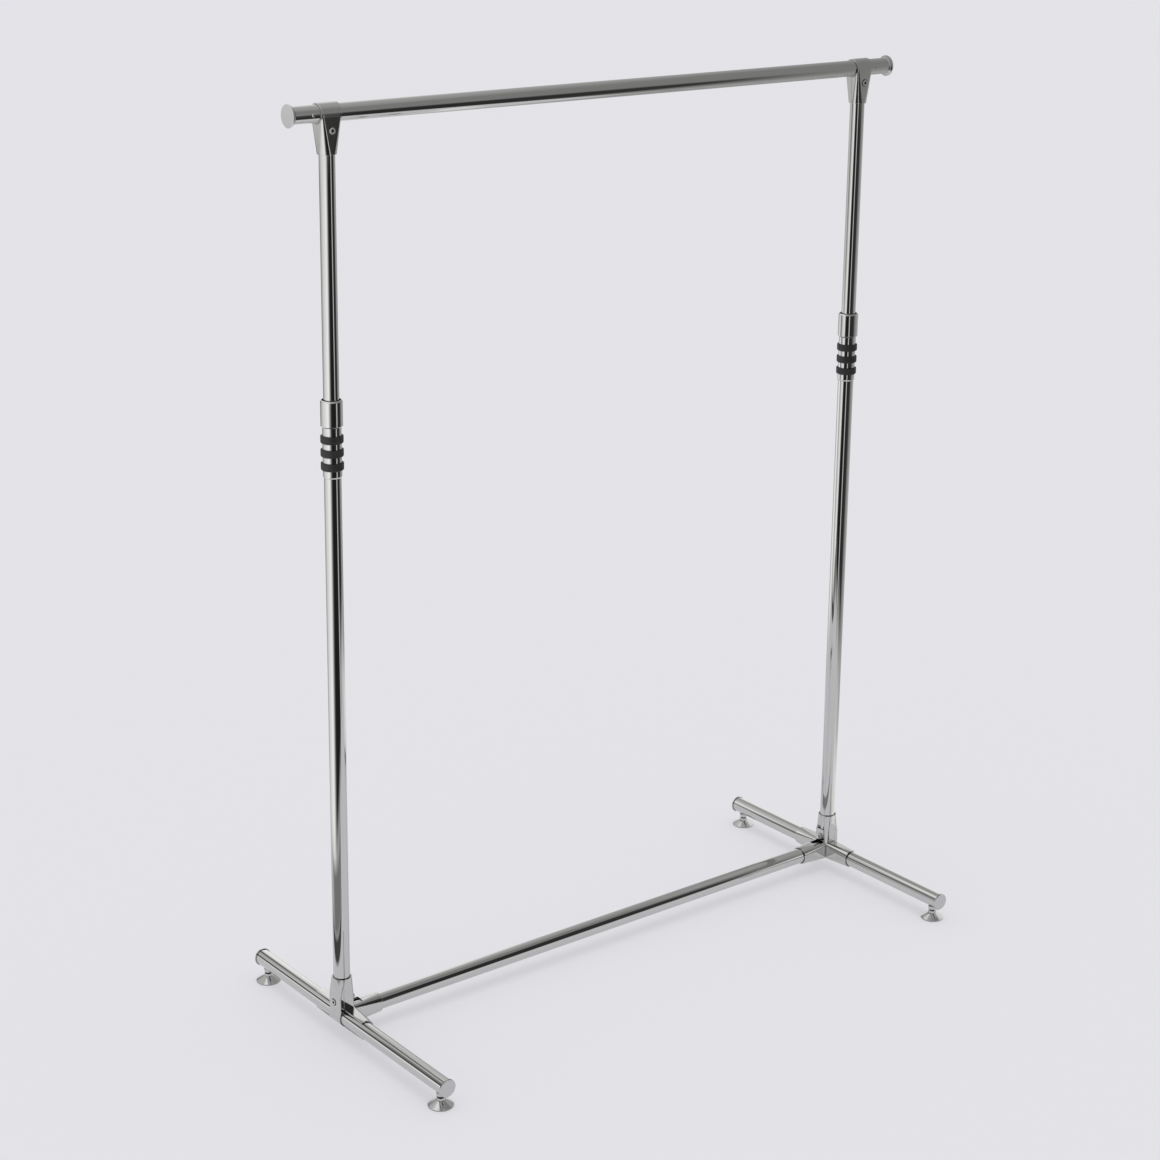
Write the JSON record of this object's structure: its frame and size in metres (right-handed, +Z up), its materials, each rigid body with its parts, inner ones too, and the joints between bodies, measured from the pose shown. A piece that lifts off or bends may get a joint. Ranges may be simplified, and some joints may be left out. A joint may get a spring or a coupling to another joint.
{
  "type": "garment rail",
  "caption": "Free-standing adjustable garment rail: hanging bar clamped on telescopic uprights with twist locks, low crossbar, foot bars on levelling pads.",
  "frame": {"origin": "bottom centre of the stand's bounding box: floor level under its middle, halfway between the front and back levelling pads", "axes": "+X along the hanging rail, to the right for someone in front; +Y towards the back (the short feet); +Z up"},
  "size_m": [1.246, 0.566, 1.5541],
  "materials": {
    "chrome_tube": "bright chrome plate on steel tube, with fine wiping marks",
    "chrome_fitting": "bright chrome plate on pressed steel, slightly softer than the tubes",
    "satin_cap": "satin chrome end caps",
    "grip_metal": "chrome sleeve under the rubber rings",
    "black_rubber": "matte black rubber",
    "black_plastic": "black acetal",
    "black_bolt": "blackened socket screws",
    "zinc_steel": "zinc-plated steel",
    "foot_steel": "plated steel pads and stems"
  },
  "bodies": {
    "base": {"crossbar": "chrome_tube", "left_back_foot_cap": "satin_cap", "left_foot_bar": "chrome_tube", "left_front_foot_cap": "satin_cap", "left_joint_back_shell": "chrome_fitting", "left_joint_bolt": "black_bolt", "left_joint_front_shell": "chrome_fitting", "left_joint_nut": "zinc_steel", "left_joint_outer_shell": "chrome_fitting", "left_lock_collet": "black_plastic", "left_lock_ferrule": "chrome_fitting", "left_lower_tube": "chrome_tube", "levelling_inserts": "zinc_steel", "levelling_jam_nuts": "zinc_steel", "right_back_foot_cap": "satin_cap", "right_foot_bar": "chrome_tube", "right_front_foot_cap": "satin_cap", "right_joint_back_shell": "chrome_fitting", "right_joint_bolt": "black_bolt", "right_joint_front_shell": "chrome_fitting", "right_joint_nut": "zinc_steel", "right_joint_outer_shell": "chrome_fitting", "right_lock_collet": "black_plastic", "right_lock_ferrule": "chrome_fitting", "right_lower_tube": "chrome_tube"},
    "upper_frame": {"hanging_rail": "chrome_tube", "left_clamp_back_half": "chrome_fitting", "left_clamp_bolt": "black_bolt", "left_clamp_front_half": "chrome_fitting", "left_clamp_nut": "zinc_steel", "left_inner_tube": "chrome_tube", "left_rail_cap": "chrome_fitting", "left_rail_stop": "zinc_steel", "left_slide_bush": "black_plastic", "right_clamp_back_half": "chrome_fitting", "right_clamp_bolt": "black_bolt", "right_clamp_front_half": "chrome_fitting", "right_clamp_nut": "zinc_steel", "right_inner_tube": "chrome_tube", "right_rail_cap": "chrome_fitting", "right_rail_stop": "zinc_steel", "right_slide_bush": "black_plastic"},
    "left_grip": {"left_grip_ring_1": "black_rubber", "left_grip_ring_2": "black_rubber", "left_grip_ring_3": "black_rubber", "left_lock_grip": "grip_metal"},
    "right_grip": {"right_grip_ring_1": "black_rubber", "right_grip_ring_2": "black_rubber", "right_grip_ring_3": "black_rubber", "right_lock_grip": "grip_metal"},
    "left_back_leveller": {"left_back_levelling_foot": "foot_steel"},
    "left_front_leveller": {"left_front_levelling_foot": "foot_steel"},
    "right_back_leveller": {"right_back_levelling_foot": "foot_steel"},
    "right_front_leveller": {"right_front_levelling_foot": "foot_steel"}
  },
  "joints": [
    {"name": "height", "type": "slide", "parent": "base", "child": "upper_frame", "axis": [0, 0, 1], "range_m": [-0.37, 0.16]},
    {"name": "left_lock_turn", "type": "hinge", "parent": "base", "child": "left_grip", "pos_m": [-0.555, 0.0235, 1.01], "axis": [0, 0, 1], "range_deg": [0, 180]},
    {"name": "right_lock_turn", "type": "hinge", "parent": "base", "child": "right_grip", "pos_m": [0.555, 0.0235, 1.01], "axis": [0, 0, 1], "range_deg": [0, 180]},
    {"name": "left_front_levelling", "type": "slide", "parent": "base", "child": "left_front_leveller", "axis": [0, 0, 1], "range_m": [-0.01, 0.003]},
    {"name": "left_back_levelling", "type": "slide", "parent": "base", "child": "left_back_leveller", "axis": [0, 0, 1], "range_m": [-0.01, 0.003]},
    {"name": "right_front_levelling", "type": "slide", "parent": "base", "child": "right_front_leveller", "axis": [0, 0, 1], "range_m": [-0.01, 0.003]},
    {"name": "right_back_levelling", "type": "slide", "parent": "base", "child": "right_back_leveller", "axis": [0, 0, 1], "range_m": [-0.01, 0.003]}
  ]
}
